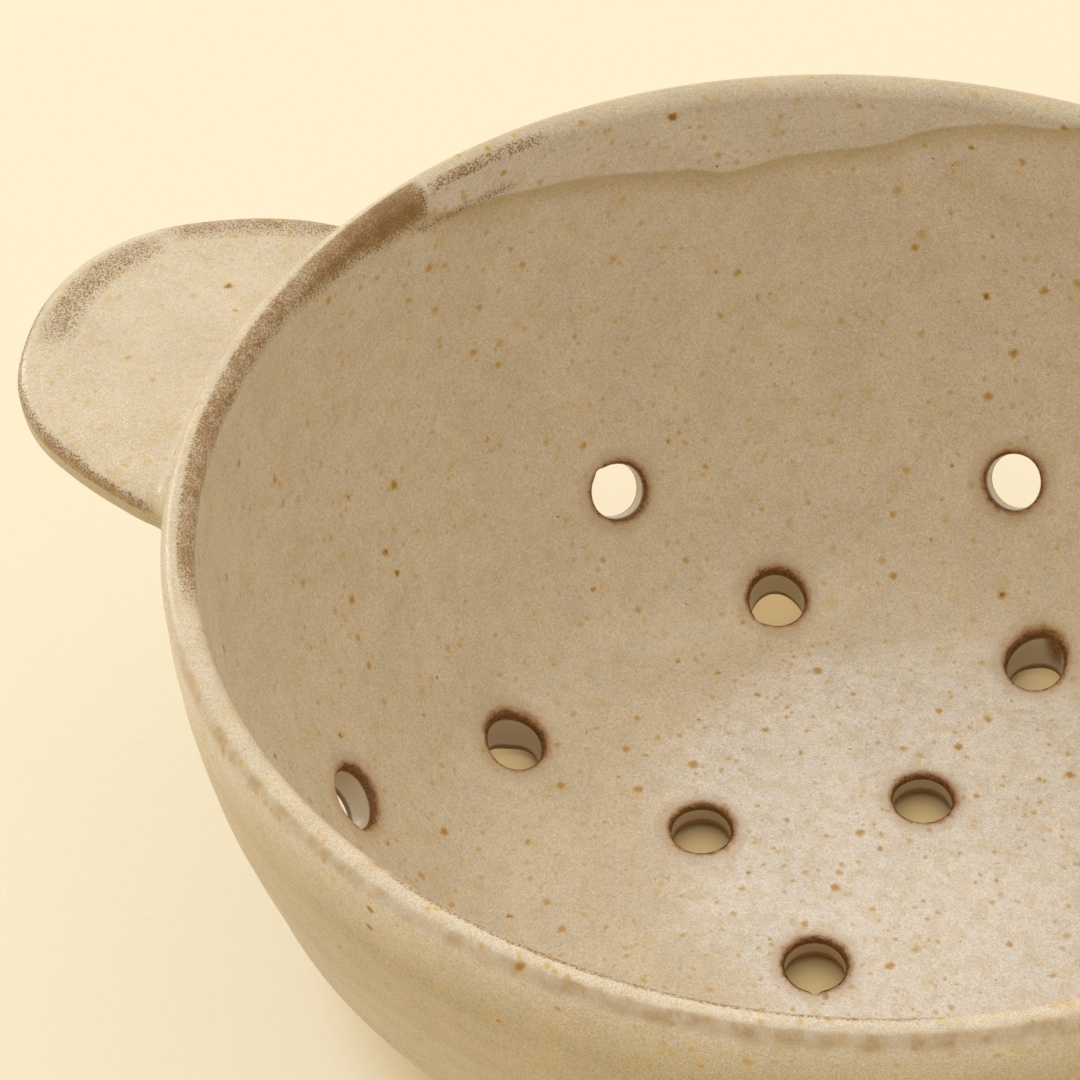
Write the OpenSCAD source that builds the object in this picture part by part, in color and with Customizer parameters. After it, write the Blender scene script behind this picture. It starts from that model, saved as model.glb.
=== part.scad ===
// Berry colander bowl: a wheel-thrown stoneware bowl on a low foot ring, with drain holes punched
// through its floor, heel and belly, and two flat ear handles joined on just below the lip.
// Z is up, the handles lie along X, and the origin is under the middle of the foot ring,
// on the plane that the bowl stands on.

/* [Bowl] */
// Width of the bowl outside its lip, without the handles
bowl_w = 160; // [140:1:190]
// Height from the resting plane to the crest of the lip
bowl_h = 76.5; // [68:0.5:92]
// Thickness of the wall, whose full round is the lip
wall_t = 4; // [3:0.1:5.5]
// Thickness of the flat floor
floor_t = 4; // [3:0.1:6]
// Width of the flat part of the floor inside
floor_w = 79; // [64:1:90]
// Inside radius of the heel, the tight curve from the floor to the belly
heel_r = 20; // [12:0.5:24]
// Height of the straight band at the mouth, below the lip's round
mouth_band_h = 4.5; // [2:0.5:9]

/* [Foot ring] */
// Gap between the foot ring and the heel holes that come out around it
foot_gap = 2.4; // [1:0.1:6]
// Height of the foot ring
foot_h = 1.5; // [1:0.1:8]
// Thickness of the foot ring where it meets the bowl
foot_t = 5; // [3:0.5:10]
// How far each side of the foot ring leans in towards its resting face
foot_lean = 0.4; // [0:0.1:1]
// Softened corner of the resting face
foot_edge = 0.4; // [0.2:0.1:0.6]

/* [Drain holes] */
// Width of a drain hole
hole_d = 8; // [5:0.5:9]
// Width of the softened edge round a hole, inside and outside
hole_edge = 0.9; // [0.3:0.1:1.4]
// Distance from the bowl's axis to the holes in the floor
floor_holes_r = 17.4; // [12:0.2:24]
// How far up the heel its holes are, as a share of the heel's turn
heel_holes_share = 0.43; // [0.3:0.01:0.6]
// Degrees that the heel's holes lean outwards on their way down
heel_holes_lean = 6; // [0:1:20]
// How far up the belly its holes are, as a share of the belly's turn
belly_holes_share = 0.18; // [0.12:0.01:0.6]

/* [Handles] */
// How far a handle reaches out from the bowl
handle_reach = 28.4; // [20:0.2:36]
// Distance from the bowl's outside to the middle of a handle's round outline
handle_offset = 1.2; // [0.6:0.1:4]
// Thickness of a handle
handle_t = 4.8; // [4:0.1:6.5]
// Height of the lip's crest above a handle's top face
handle_drop = 6; // [5:0.5:16]
// Radius of a handle's rounded edge
handle_edge = 1.8; // [0.6:0.1:2.2]
// Depth of the shallow dish in a handle's top face
handle_dish = 0.5; // [0.2:0.1:1]
// Height and width of the clay coil pressed into the corner between a handle and the bowl
coil_w = 2.4; // [1.4:0.1:3.2]

/* [Hidden] */

// Colours of the glaze and of the bare clay
glaze_colour = "#c8b494";
handle_colour = "#cdbb9e";
coil_colour = "#d8c8ad";
clay_colour = "#a5835f";

// Smoothness: sides of a full circle, and steps along the arcs of an outline
$fn = 96;
arc_steps = 10;
// Overrun of every cut
cut = 1;

// Where the holes of each ring lie, in degrees from +X. They were punched by eye, so they are uneven.
floor_hole_angles = [57, 184, 285];
heel_hole_angles = [19, 69, 117, 176, 227, 278, 329];
belly_hole_angles = [25, 84, 138, 203, 264, 325];

// Inside outline: flat floor, heel arc and belly arc, tangent to each other and to the straight mouth
bowl_r = bowl_w / 2;
mouth_r = bowl_r - wall_t;
floor_r = floor_w / 2;
floor_z = foot_h + floor_t;
lip_r = wall_t / 2;
lip_z = bowl_h - lip_r;
belly_z = lip_z - mouth_band_h;
spread = mouth_r - floor_r;
rise = belly_z - floor_z;
belly_r = (spread * spread + rise * rise - 2 * rise * heel_r) / (2 * (spread - heel_r));
heel_centre = [floor_r, floor_z + heel_r];
belly_centre = [mouth_r - belly_r, belly_z];
heel_slope = atan2(belly_r - spread, rise - heel_r);

// Slopes of the heel and of the belly where their holes are
heel_holes_slope = heel_slope * heel_holes_share;
belly_holes_slope = heel_slope + (90 - heel_slope) * belly_holes_share;

// Outside outline: the belly arc one wall thickness further out, down to the flat underside
shell_r = belly_r + wall_t;
underside_slope = acos((belly_z - foot_h) / shell_r);

// Foot ring: its outside keeps clear of the lower, inner edge of the heel holes
heel_hole_point = at_slope(heel_centre, heel_r, heel_holes_slope);
heel_hole_exit = heel_hole_point[0] + (heel_hole_point[1] - foot_h) * tan(heel_holes_lean);
foot_r = heel_hole_exit - hole_d / 2 / cos(heel_holes_lean) - foot_gap;

// Handle: a disc of slab clay whose middle lies just outside the bowl, so that half of it shows
handle_top = bowl_h - handle_drop;
handle_bottom = handle_top - handle_t;
handle_r = handle_reach - handle_offset;
handle_x = bowl_r + handle_offset;
// The edge's radius stays under this share of the handle's thickness
handle_edge_share = 0.48;
handle_edge_r = min(handle_edge, handle_t * handle_edge_share);
// The dish is flat out to this share of the disc's radius
dish_flat_share = 0.6;

// A coil's thin edges keep a step of this share of its width
coil_edge_share = 0.18;
coil_edge = coil_w * coil_edge_share;

// Point of an arc whose tangent has the given slope, for a curve that rises outwards
function at_slope(centre, radius, slope) = centre + radius * [sin(slope), -cos(slope)];

// Points of such an arc from one slope to another
function arc(centre, radius, from, to) =
    [for (i = [0:arc_steps]) at_slope(centre, radius, from + (to - from) * i / arc_steps)];

// Points of the lip's half round, from the inside over the crest to the outside
function lip_points() = [
    for (i = [0:arc_steps])
        let (a = 180 * i / arc_steps)
            [mouth_r + lip_r, lip_z] + lip_r * [-cos(a), sin(a)]
];

// Outside of the belly, from the mouth down to the underside
function shell_points() = arc(belly_centre, shell_r, 90, underside_slope);

// Half section of the bowl
module bowl_section() {
    polygon(concat(
        [[0, foot_h], [0, floor_z]],
        arc(heel_centre, heel_r, 0, heel_slope),
        arc(belly_centre, belly_r, heel_slope, 90),
        lip_points(),
        shell_points()
    ));
}

// The space that the bowl fills when it is taken as solid, for what joins its outside
module bowl_space() {
    rotate_extrude()
        polygon(concat([[0, foot_h], [0, lip_z]], lip_points(), shell_points()));
}

// Cutter for one hole through a point of the section. It leans outwards from upright, and its edge
// follows the section's slope.
module hole(angle, point, slope, lean) {
    through = floor_t + heel_r;
    rotate([0, 0, angle])
        translate([point[0], 0, point[1]]) {
            rotate([0, -lean, 0])
                translate([0, 0, -through])
                    cylinder(h = 2 * through, d = hole_d);
            rotate([0, -slope, 0])
                soft_edge(1);
        }
}

// Cutter that softens the edge of a hole at a face: the cone opens upwards with side 1, downwards with -1
module soft_edge(side) {
    wide = hole_d + 4 * hole_edge;
    translate([0, 0, -hole_edge])
        cylinder(h = 2 * hole_edge, d1 = side > 0 ? hole_d : wide, d2 = side > 0 ? wide : hole_d);
}

// Thrown bowl: floor, heel, belly and lip in one piece of clay, with its drain holes
module bowl_body() {
    belly_hole_point = at_slope(belly_centre, belly_r, belly_holes_slope);
    belly_hole_exit = at_slope(belly_centre, shell_r, belly_holes_slope);
    color(glaze_colour)
        difference() {
            rotate_extrude()
                bowl_section();
            for (angle = floor_hole_angles) {
                hole(angle, [floor_holes_r, floor_z], 0, 0);
                rotate([0, 0, angle])
                    translate([floor_holes_r, 0, foot_h])
                        soft_edge(-1);
            }
            for (angle = heel_hole_angles)
                hole(angle, heel_hole_point, heel_holes_slope, heel_holes_lean);
            for (angle = belly_hole_angles) {
                hole(angle, belly_hole_point, belly_holes_slope, belly_holes_slope);
                rotate([0, 0, angle])
                    translate([belly_hole_exit[0], 0, belly_hole_exit[1]])
                        rotate([0, -belly_holes_slope, 0])
                            soft_edge(-1);
            }
        }
}

// Foot ring: a low trimmed ring of bare clay under the floor
module foot_ring() {
    inner = foot_r - foot_t;
    color(clay_colour)
        rotate_extrude()
            polygon([
                [inner, foot_h],
                [inner + foot_lean, foot_edge],
                [inner + foot_lean + foot_edge, 0],
                [foot_r - foot_lean - foot_edge, 0],
                [foot_r - foot_lean, foot_edge],
                [foot_r, foot_h]
            ]);
}

// Half section of the slab disc that a handle is made from, with its round edge and dished top
module handle_section() {
    rim_r = handle_r - handle_edge_r;
    steps = [for (i = [0:arc_steps]) 90 * i / arc_steps];
    polygon(concat(
        [[0, handle_bottom]],
        [for (a = steps) [rim_r + handle_edge_r * sin(a), handle_bottom + handle_edge_r * (1 - cos(a))]],
        [for (a = steps) [rim_r + handle_edge_r * cos(a), handle_top - handle_edge_r * (1 - sin(a))]],
        [[handle_r * dish_flat_share, handle_top - handle_dish], [0, handle_top - handle_dish]]
    ));
}

// The whole slab disc of the handle on the +X side
module handle_disc() {
    translate([handle_x, 0, 0])
        rotate_extrude()
            handle_section();
}

// Ear handle: the part of the slab disc that stands out of the bowl's side
module handle() {
    difference() {
        handle_disc();
        bowl_space();
    }
}

// Section of a coil in a corner at the origin, with the wall on -X and the handle below. It runs on
// into both, for the cuts that seat it on them.
module coil_section() {
    polygon(concat(
        [[-wall_t / 2, -handle_t / 4], [coil_w, -handle_t / 4]],
        [for (i = [0:arc_steps]) [coil_w, coil_w] - (coil_w - coil_edge) *
            [sin(90 * i / arc_steps), cos(90 * i / arc_steps)]],
        [[-wall_t / 2, coil_w]]
    ));
}

// The two coils of a handle on the +X side, one in the corner above it and one below it
module handle_coils() {
    end_r = handle_r - handle_edge_r;
    difference() {
        intersection() {
            rotate_extrude() {
                translate([bowl_r, handle_top - handle_dish])
                    coil_section();
                translate([bowl_r, handle_bottom])
                    mirror([0, 1])
                        coil_section();
            }
            translate([handle_x, 0, handle_bottom - coil_w - cut])
                cylinder(h = handle_t + 2 * coil_w + 2 * cut, r = end_r);
        }
        bowl_space();
        handle_disc();
    }
}

module left_handle() {
    color(handle_colour)
        mirror([1, 0, 0])
            handle();
}

module right_handle() {
    color(handle_colour)
        handle();
}

module left_handle_coils() {
    color(coil_colour)
        mirror([1, 0, 0])
            handle_coils();
}

module right_handle_coils() {
    color(coil_colour)
        handle_coils();
}

bowl_body();
foot_ring();
left_handle();
right_handle();
left_handle_coils();
right_handle_coils();
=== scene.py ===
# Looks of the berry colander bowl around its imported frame: the thrown bowl with its punched holes, the
# two ear handles that run into the wall, the trimmed foot ring, their glaze and clay, and a plain studio.
import math

import bmesh
import bpy
import numpy as np
from mathutils import Matrix, Vector


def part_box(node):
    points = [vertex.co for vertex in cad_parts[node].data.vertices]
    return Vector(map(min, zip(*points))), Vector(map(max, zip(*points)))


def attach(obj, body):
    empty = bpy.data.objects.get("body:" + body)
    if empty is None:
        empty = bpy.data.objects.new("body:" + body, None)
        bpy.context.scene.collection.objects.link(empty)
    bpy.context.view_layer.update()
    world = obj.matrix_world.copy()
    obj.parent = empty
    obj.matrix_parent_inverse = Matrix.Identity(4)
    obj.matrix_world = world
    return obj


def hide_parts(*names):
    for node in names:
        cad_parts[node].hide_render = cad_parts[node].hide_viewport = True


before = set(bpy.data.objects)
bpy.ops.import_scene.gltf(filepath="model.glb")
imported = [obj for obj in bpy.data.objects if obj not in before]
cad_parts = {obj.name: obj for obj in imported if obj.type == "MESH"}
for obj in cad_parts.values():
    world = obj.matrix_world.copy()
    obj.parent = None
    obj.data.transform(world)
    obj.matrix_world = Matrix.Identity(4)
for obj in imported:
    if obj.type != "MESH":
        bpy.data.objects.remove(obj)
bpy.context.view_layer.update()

MM = 0.001

# Sizes that the frame gives, to a tenth of a millimetre
body_low, body_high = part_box("bowl_body")
foot_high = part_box("foot_ring")[1]
BOWL_R = round(body_high.y, 4)
CREST_Z = round(body_high.z, 4)
UNDER_Z = round(body_low.z, 4)
FOOT_R = round(foot_high.x, 4)

# Section of the bowl, as the frame has it, apart from CORNER_R, which rounds the corner between the outside
# and the underside
WALL = 4 * MM
FLOOR_R = 39.5 * MM
HEEL_R = 20 * MM
BAND = 4.5 * MM
CORNER_R = 3 * MM
LIP_R = WALL / 2
MOUTH_R = BOWL_R - WALL
LIP_Z = CREST_Z - LIP_R
BELLY_Z = LIP_Z - BAND
FLOOR_Z = UNDER_Z + WALL
SPREAD = MOUTH_R - FLOOR_R
RISE = BELLY_Z - FLOOR_Z
BELLY_R = (SPREAD ** 2 + RISE ** 2 - 2 * RISE * HEEL_R) / (2 * (SPREAD - HEEL_R))
SHELL_R = BELLY_R + WALL
HEEL_SLOPE = math.atan2(BELLY_R - SPREAD, RISE - HEEL_R)
HEEL_C = np.array([FLOOR_R, FLOOR_Z + HEEL_R])
BELLY_C = np.array([MOUTH_R - BELLY_R, BELLY_Z])
CORNER_SLOPE = math.acos((BELLY_Z - UNDER_Z - CORNER_R) / (SHELL_R - CORNER_R))
CORNER_C = BELLY_C + (SHELL_R - CORNER_R) * np.array([math.sin(CORNER_SLOPE), -math.cos(CORNER_SLOPE)])

# The fired pot is a little smaller than its box, so that the uneven lip stays inside it
FIRED = 0.988
LIP_RISE_MAX = 1.28 * MM
LIFT = CREST_Z - FIRED * (CREST_Z + LIP_RISE_MAX)

# Uneven lip: cosine and sine amplitudes of the second and third turn, from the photographed outline, the
# azimuth that they start at, and how far down from the crest they stay full
LIP_TURN = math.radians(17.2)
LIP_OUT = {2: (-0.54 * MM, 0.53 * MM), 3: (-0.35 * MM, 0.32 * MM)}
LIP_UP = {2: (-0.36 * MM, 0.31 * MM), 3: (0.72 * MM, 0.35 * MM)}
LIP_UNEVEN_H = 6 * MM

# Drain holes: their radius, the width of their softened edge inside and outside, how far from round they
# are, and where their rings lie, as slopes of the inside face or as a distance from the axis
HOLE_R = 4 * MM
HOLE_EDGE = 0.7 * MM
HOLE_EXIT_EDGE = 0.25 * MM
HOLE_WOBBLE = 0.025 * MM
HEEL_HOLE_SLOPE = math.radians(21.2)
BELLY_HOLE_SLOPE = math.radians(56.6)
FLOOR_HOLES_R = 17.4 * MM
# Each hole: azimuth in degrees, how far in mm it lies up the slope from its ring, and the degrees that its
# bore leans outwards and sideways from straight down. A chip in its edge adds a direction in degrees, a
# depth in mm and a width in degrees.
HOLES = {
    "floor": [
        (57.5, -0.3, 4, 3),
        (184.1, -0.2, 1, -2, 240, 0.15, 25),
        (285, 0.5, -4, 1, 274, 0.5, 8),
    ],
    "heel": [
        (19, 0.2, 6, 0),
        (68.7, -0.7, -2, -10, 262, 0.35, 24),
        (117.3, 0.3, 6, -2, 42, 0.3, 15),
        (176, -0.1, 4, 14),
        (227, 0.1, 6, 0, 80, 0.3, 12),
        (278, -0.3, 6, 0),
        (329, 0.2, 6, 0, 200, 0.3, 14),
    ],
    "belly": [
        (25, 0.1, 56, 0),
        (83.6, 0.7, 55, 3),
        (138.1, -0.1, 55, -6, 298, 0.35, 9),
        (203.3, 0.4, 64, 42, 24, 0.6, 9),
        (264, -0.2, 56, 0),
        (325, 0.3, 56, 0, 310, 0.3, 12),
    ],
}
NO_CHIP = (0, 0, 1)
# Depth of a chip outside, as a share of its depth inside
CHIP_OUTSIDE = 0.3

# The bowl's mesh: steps round it, and the length of a step along its section and round its lip
AROUND = 360
TURN_STEP = 2 * math.pi / AROUND
STEP = 1.32 * MM
LIP_STEP = STEP / 4
# The patch of mesh round a hole: rows of the section on each side of it, how far round it reaches, and its
# rings of points, as shares of the way from the hole's edge to the patch's border
PATCH_ROWS = 6
PATCH_REACH = HOLE_R + 3.3 * MM
PATCH_SHARES = (0.75, 0.52, 0.33, 0.18, 0.07, 0.0)
# Rings of points round a hole's softened edge, in degrees, and down its bore, as shares of its length
EDGE_TILTS = (18, 36, 54, 72, 90)
BORE_SHARES = (0.2, 0.4, 0.6, 0.8)
# Rounds in which a point finds its face, and the seed of the holes' wobble
MEET_ROUNDS = 24
WOBBLE_SEED = 16


def at_slope(centre, radius, slope):
    """Points of an arc whose tangent has the given slope, for a curve that rises outwards."""
    slope = np.asarray(slope, float)
    return np.asarray(centre) + radius * np.stack([np.sin(slope), -np.cos(slope)], -1)


def harmonics(table, turn):
    return sum(c * np.cos(n * turn) + s * np.sin(n * turn) for n, (c, s) in table.items())


def smooth(low, high, value):
    """0 below low, 1 above high, and a soft step between."""
    t = np.clip((value - low) / (high - low), 0, 1)
    return t * t * (3 - 2 * t)


def band(value, low, high, soft):
    """1 between low and high, fading to 0 over its own soft width on each side."""
    return smooth(low - soft[0], low, value) * (1 - smooth(high, high + soft[1], value))


def curve(points, at):
    """Smooth curve through given points, read at the given places."""
    x, y = np.array(points, float).T
    slope = np.gradient(y, x)
    k = np.clip(np.searchsorted(x, at) - 1, 0, len(x) - 2)
    width = x[k + 1] - x[k]
    t = np.clip((at - x[k]) / width, 0, 1)
    ease = t * t * (3 - 2 * t)
    bend = t * (1 - t) * width * (slope[k] * (1 - t) - slope[k + 1] * t)
    return y[k] * (1 - ease) + y[k + 1] * ease + bend


def inner_gap(r, z):
    """Distance from the inside face, positive in the hollow."""
    slope = np.arctan2(r - HEEL_C[0], HEEL_C[1] - z)
    heel = HEEL_R - np.hypot(r - HEEL_C[0], z - HEEL_C[1])
    belly = BELLY_R - np.hypot(r - BELLY_C[0], z - BELLY_C[1])
    return np.where(r < FLOOR_R, z - FLOOR_Z, np.where(slope < HEEL_SLOPE, heel, belly))


def outer_gap(r, z):
    """Distance from the outside face, positive outside the clay."""
    slope = np.arctan2(r - CORNER_C[0], CORNER_C[1] - z)
    corner = np.hypot(r - CORNER_C[0], z - CORNER_C[1]) - CORNER_R
    shell = np.hypot(r - BELLY_C[0], z - BELLY_C[1]) - SHELL_R
    return np.where(r < CORNER_C[0], UNDER_Z - z, np.where(slope < CORNER_SLOPE, corner, shell))


def fired(points):
    """Where a point of the true section ends up on the uneven, fired pot."""
    x, y, z = points.T
    turn = np.arctan2(y, x) - LIP_TURN
    weight = np.clip((z - FLOOR_Z) / (CREST_Z - LIP_UNEVEN_H - FLOOR_Z), 0, 1)
    r = np.hypot(x, y)
    grow = 1 + harmonics(LIP_OUT, turn) * weight / np.maximum(r, FLOOR_R)
    z = z + harmonics(LIP_UP, turn) * weight
    return np.stack([x * grow * FIRED, y * grow * FIRED, z * FIRED + LIFT], -1)


def turned(outline, around):
    """The points of a section turned round the axis."""
    turn = np.arange(around) * 2 * math.pi / around
    return np.stack([
        outline[:, None, 0] * np.cos(turn),
        outline[:, None, 0] * np.sin(turn),
        np.repeat(outline[:, None, 1], around, 1),
    ], -1).reshape(-1, 3)


def set_looks(mesh, looks):
    """Gives every point of a mesh its values for the materials."""
    for key, values in looks.items():
        layer = mesh.attributes.new(key, "FLOAT", "POINT")
        layer.data.foreach_set("value", np.asarray(values, np.float32))
    mesh.shade_smooth()
    mesh.update()


def new_mesh(name, points, faces):
    """A smooth-shaded object from points and faces."""
    mesh = bpy.data.meshes.new(name)
    mesh.from_pydata([tuple(p) for p in points], [], [tuple(int(i) for i in f) for f in faces])
    mesh.validate()
    mesh.shade_smooth()
    obj = bpy.data.objects.new(name, mesh)
    bpy.context.scene.collection.objects.link(obj)
    return obj


# Bowl

def section():
    """The bowl's section from the middle of the floor over the lip to the middle of the underside, how far
    along it each point is from the crest, negative inside, and how many of its points lie inside."""
    def straight(start, end):
        count = max(1, round(math.dist(start, end) / STEP))
        share = np.linspace(0, 1, count + 1)[1:, None]
        return np.array(start) + (np.array(end) - np.array(start)) * share

    def arc(centre, radius, start, end, step=STEP):
        count = max(1, round(abs(end - start) * radius / step))
        return at_slope(centre, radius, np.linspace(start, end, count + 1)[1:])

    quarter = math.pi / 2
    first = [STEP, FLOOR_Z]
    parts = [
        np.array([first]),
        straight(first, [FLOOR_R, FLOOR_Z]),
        arc(HEEL_C, HEEL_R, 0, HEEL_SLOPE),
        arc(BELLY_C, BELLY_R, HEEL_SLOPE, quarter),
        straight([MOUTH_R, BELLY_Z], [MOUTH_R, LIP_Z]),
        arc([BOWL_R - LIP_R, LIP_Z], LIP_R, -quarter, -2 * quarter, LIP_STEP),
    ]
    inside = sum(len(p) for p in parts)
    parts += [
        arc([BOWL_R - LIP_R, LIP_Z], LIP_R, -2 * quarter, -3 * quarter, LIP_STEP),
        straight([BOWL_R, LIP_Z], [BOWL_R, BELLY_Z]),
        arc(BELLY_C, SHELL_R, quarter, CORNER_SLOPE),
        arc(CORNER_C, CORNER_R, CORNER_SLOPE, 0),
        straight([CORNER_C[0], UNDER_Z], [STEP, UNDER_Z]),
    ]
    points = np.concatenate(parts)
    along = np.concatenate([[0], np.cumsum(np.hypot(*np.diff(points, axis=0).T))])
    return points, along - along[inside - 1], inside


def hole_list():
    """Middle of each hole on the inside face, its axis out through the wall, and the two directions square
    to it: sideways and up the slope."""
    made = []
    up = np.array([0, 0, 1.0])
    for ring, rows in HOLES.items():
        for azimuth, shift, lean, side_lean, *chip in rows:
            if ring == "floor":
                place = np.array([FLOOR_HOLES_R + shift * MM, FLOOR_Z])
            elif ring == "heel":
                place = at_slope(HEEL_C, HEEL_R, HEEL_HOLE_SLOPE + shift * MM / HEEL_R)
            else:
                place = at_slope(BELLY_C, BELLY_R, BELLY_HOLE_SLOPE + shift * MM / BELLY_R)
            turn = math.radians(azimuth)
            out = np.array([math.cos(turn), math.sin(turn), 0])
            side = np.array([-math.sin(turn), math.cos(turn), 0])
            axis = math.tan(math.radians(lean)) * out + math.tan(math.radians(side_lean)) * side - up
            axis = axis / np.linalg.norm(axis)
            rise = np.cross(side, axis)
            rise = rise / np.linalg.norm(rise)
            made.append({
                "turn": turn % (2 * math.pi),
                "r": place[0],
                "middle": place[0] * out + place[1] * up,
                "axis": axis,
                "side": np.cross(axis, rise),
                "rise": rise,
                "chip": chip or NO_CHIP,
            })
    return made


def meet(points, axis, gap, sign):
    """Where lines along the axis from the points meet a face."""
    reach = np.zeros(len(points))
    for _ in range(MEET_ROUNDS):
        q = points + reach[:, None] * axis
        reach -= sign * gap(np.hypot(q[:, 0], q[:, 1]), q[:, 2])
    return points + reach[:, None] * axis


def ring_on_face(hole, radius, turn, face, sign):
    """Where a ring of lines round a hole's axis meets a face."""
    start = (hole["middle"] + (radius * np.cos(turn))[:, None] * hole["side"]
             + (radius * np.sin(turn))[:, None] * hole["rise"])
    return meet(start, hole["axis"], face, sign)


def bowl_mesh():
    """The section turned round the axis as a grid of quads, with a patch stitched in round each hole. Gives
    points and faces, and each point's distance from the crest and its depth, 0 inside and 1 outside."""
    rng = np.random.default_rng(WOBBLE_SEED)
    profile, along, inside = section()
    rings = len(profile)
    grid = turned(profile, AROUND)
    points = [grid]
    lip = [np.repeat(along, AROUND)]
    depth = [np.repeat((np.arange(rings) >= inside) * 1.0, AROUND)]
    total = len(grid)
    index = np.arange(rings * AROUND).reshape(rings, AROUND)
    open_cells = np.zeros((rings - 1, AROUND), bool)
    faces = []

    def add(new_points, new_lip, new_depth):
        nonlocal total
        points.append(new_points)
        lip.append(np.full(len(new_points), new_lip))
        depth.append(np.full(len(new_points), new_depth))
        total += len(new_points)
        return np.arange(total - len(new_points), total)

    def bridge(a, b):
        for k in range(len(a)):
            n = (k + 1) % len(a)
            faces.append((a[k], a[n], b[n], b[k]))

    def grow(previous, new_points, new_lip, new_depth):
        ring = add(new_points, new_lip, new_depth)
        bridge(previous, ring)
        return ring

    for hole in hole_list():
        half_turns = math.ceil(math.asin(min(PATCH_REACH / hole["r"], 1)) / TURN_STEP) + 1
        centre_turn = round(hole["turn"] / TURN_STEP)
        columns = [(centre_turn + k) % AROUND for k in range(-half_turns, half_turns + 1)]
        wobble = rng.normal(0, HOLE_WOBBLE, 3)
        chip_turn, chip_depth, chip_width = hole["chip"]
        spokes = None
        mouths = []
        for face, sign, edge in ((inner_gap, -1, HOLE_EDGE), (outer_gap, 1, HOLE_EXIT_EDGE)):
            start = meet(hole["middle"][None], hole["axis"], face, sign)[0]
            flat = np.array([math.hypot(start[0], start[1]), start[2]])
            rows_here = np.arange(inside) if sign < 0 else np.arange(inside, rings)
            row = rows_here[np.argmin(np.hypot(*(profile[rows_here] - flat).T))]
            rows = [row - k * sign for k in range(-PATCH_ROWS, PATCH_ROWS + 1)]
            for i in range(min(rows), max(rows)):
                open_cells[i, columns[:-1]] = True
            border = (
                [(rows[0], c) for c in columns[:-1]]
                + [(r, columns[-1]) for r in rows[:-1]]
                + [(rows[-1], c) for c in columns[:0:-1]]
                + [(r, columns[0]) for r in rows[:0:-1]]
            )
            outer_ring = np.array([index[r, c] for r, c in border])
            away = grid[outer_ring] - hole["middle"]
            x, y = away @ hole["side"], away @ hole["rise"]
            far = np.hypot(x, y)
            angle = np.unwrap(np.arctan2(y, x))
            if spokes is None:
                spokes = angle
            spokes_here = spokes + 2 * math.pi * np.round(np.mean(angle - spokes) / (2 * math.pi))
            bore = HOLE_R + sum(w * np.cos(n * spokes + n) for n, w in zip((2, 3, 4), wobble))
            off_chip = np.degrees(np.angle(np.exp(1j * (spokes - math.radians(chip_turn)))))
            chip_here = chip_depth * MM * (1 if sign < 0 else CHIP_OUTSIDE)
            bore = bore + chip_here * np.exp(-(off_chip / chip_width) ** 2)
            depth_here = 0.0 if sign < 0 else 1.0
            previous = outer_ring
            for share in PATCH_SHARES:
                turn = spokes_here + (angle - spokes_here) * share
                radius = bore + edge + (far - bore - edge) * share
                surface = ring_on_face(hole, radius, turn, face, sign)
                previous = grow(previous, surface, along[row], depth_here)
            for tilt in np.radians(EDGE_TILTS):
                radius = bore + edge * (1 - math.sin(tilt))
                surface = ring_on_face(hole, radius, spokes_here, face, sign)
                surface = surface - sign * edge * (1 - math.cos(tilt)) * hole["axis"]
                previous = grow(previous, surface, along[row], depth_here)
            mouths.append((previous, surface))
        (first, top), (last, bottom) = mouths
        previous = first
        for share in BORE_SHARES:
            previous = grow(previous, top + (bottom - top) * share, along[0], share)
        bridge(previous, last)

    ahead = np.roll(np.arange(AROUND), -1)
    for i in range(rings - 1):
        faces += [(index[i, c], index[i, ahead[c]], index[i + 1, ahead[c]], index[i + 1, c])
                  for c in np.flatnonzero(~open_cells[i])]
    for row, z in ((0, FLOOR_Z), (rings - 1, UNDER_Z)):
        middle = add(np.array([[0, 0, z]]), along[row], 0.0 if row == 0 else 1.0)[0]
        faces += [(index[row, c], index[row, ahead[c]], middle) for c in range(AROUND)]
    return np.concatenate(points), faces, np.concatenate(lip), np.concatenate(depth)


# Where the second coat of glaze ends inside the bowl: azimuth in degrees, mm below the crest
OVERLAP = [(60, -14), (72, -4), (78, -0.5), (84, 1.9), (92, 4.6), (105, 9), (114.5, 11.4), (123, 12.9),
           (134, 10.8), (145.5, 8.3), (153, 5.8), (156, 2), (159, -3), (164, -14)]
# Way round the lip less its height, in mm, and the mm from the coat's end that are counted
LIP_ROUND = 1.2
OVERLAP_FAR = 12
# Thickness of the second coat, the mm over which its end slopes down, and the distances from the crest
# between which it sets in
COAT = 0.22 * MM
COAT_SLOPE = (-0.8, 0.6)
COAT_FROM = (0.5 * MM, 3 * MM)
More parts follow.
